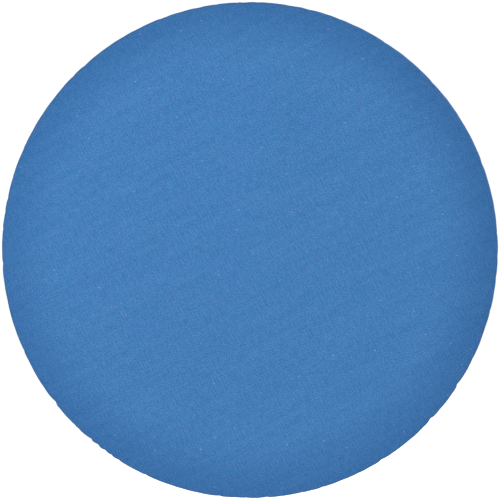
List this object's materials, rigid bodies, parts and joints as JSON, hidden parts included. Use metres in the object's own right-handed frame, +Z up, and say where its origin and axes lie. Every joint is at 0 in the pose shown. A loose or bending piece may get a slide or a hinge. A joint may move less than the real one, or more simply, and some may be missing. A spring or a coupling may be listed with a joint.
{
  "type": "collapsible backdrop panel",
  "caption": "Round padded pop-up backdrop panel with a blue cloth face over a sprung steel hoop, a hemmed dark back, a hanging ring and a retaining strap.",
  "frame": {"origin": "centre of the panel's box: on the middle of the disc, half way between the front of the face and the back of the hanging tab", "axes": "+Z up towards the hanging tab, -Y out of the blue face, +X to the right as the face is seen"},
  "size_m": [1.069, 0.065, 1.069],
  "materials": {
    "face_cloth": "matt chroma blue woven cloth",
    "wadding": "soft white bonded wadding",
    "lining": "matt black opaque lining",
    "back_cloth": "dark grey woven nylon",
    "sleeve": "black woven strip",
    "band_steel": "blued spring steel",
    "plated_steel": "nickel plated steel",
    "shrink_cover": "black shrunk tube",
    "tape": "black woven tape",
    "webbing": "black woven webbing",
    "elastic": "black ribbed elastic",
    "label": "blank pale woven label"
  },
  "bodies": {
    "upper_half": {"face_cloth_upper": "face_cloth", "wadding_upper": "wadding", "blackout_lining_upper": "lining", "back_cloth_upper": "back_cloth", "hoop_sleeve_upper": "sleeve", "spring_band_upper": "band_steel", "hem_tape_upper": "tape", "tab_patch": "tape", "tab_sewn_end": "webbing", "strap_patch": "tape", "strap_sewn_end": "elastic"},
    "lower_half": {"face_cloth_lower": "face_cloth", "wadding_lower": "wadding", "blackout_lining_lower": "lining", "back_cloth_lower": "back_cloth", "hoop_sleeve_lower": "sleeve", "spring_band_lower_left": "band_steel", "spring_band_lower_right": "band_steel", "hoop_ferrule": "plated_steel", "ferrule_rivet_left": "plated_steel", "ferrule_rivet_right": "plated_steel", "ferrule_cover": "shrink_cover", "hem_tape_lower": "tape", "care_label": "label"},
    "tab": {"hanging_tab": "webbing"},
    "ring": {"d_ring": "plated_steel"},
    "strap": {"retaining_strap": "elastic", "strap_stud": "plated_steel", "strap_socket": "plated_steel"}
  },
  "joints": [
    {"name": "half_fold", "type": "hinge", "parent": "upper_half", "child": "lower_half", "pos_m": [0, -0.0325, 0], "axis": [-1, 0, 0], "range_deg": [0, 150], "stiffness_Nm_per_rad": 1.5, "springref_deg": -22.92},
    {"name": "tab_swing", "type": "hinge", "parent": "upper_half", "child": "tab", "pos_m": [0, 0.0276, 0.517], "axis": [1, 0, 0], "range_deg": [0, 170]},
    {"name": "ring_swing", "type": "hinge", "parent": "tab", "child": "ring", "pos_m": [0, 0.0288, 0.492], "axis": [1, 0, 0], "range_deg": [0, 90]},
    {"name": "strap_swing", "type": "hinge", "parent": "upper_half", "child": "strap", "pos_m": [0.29539, 0.0267, 0.42186], "axis": [0.8192, 0, -0.5736], "range_deg": [0, 165]}
  ]
}
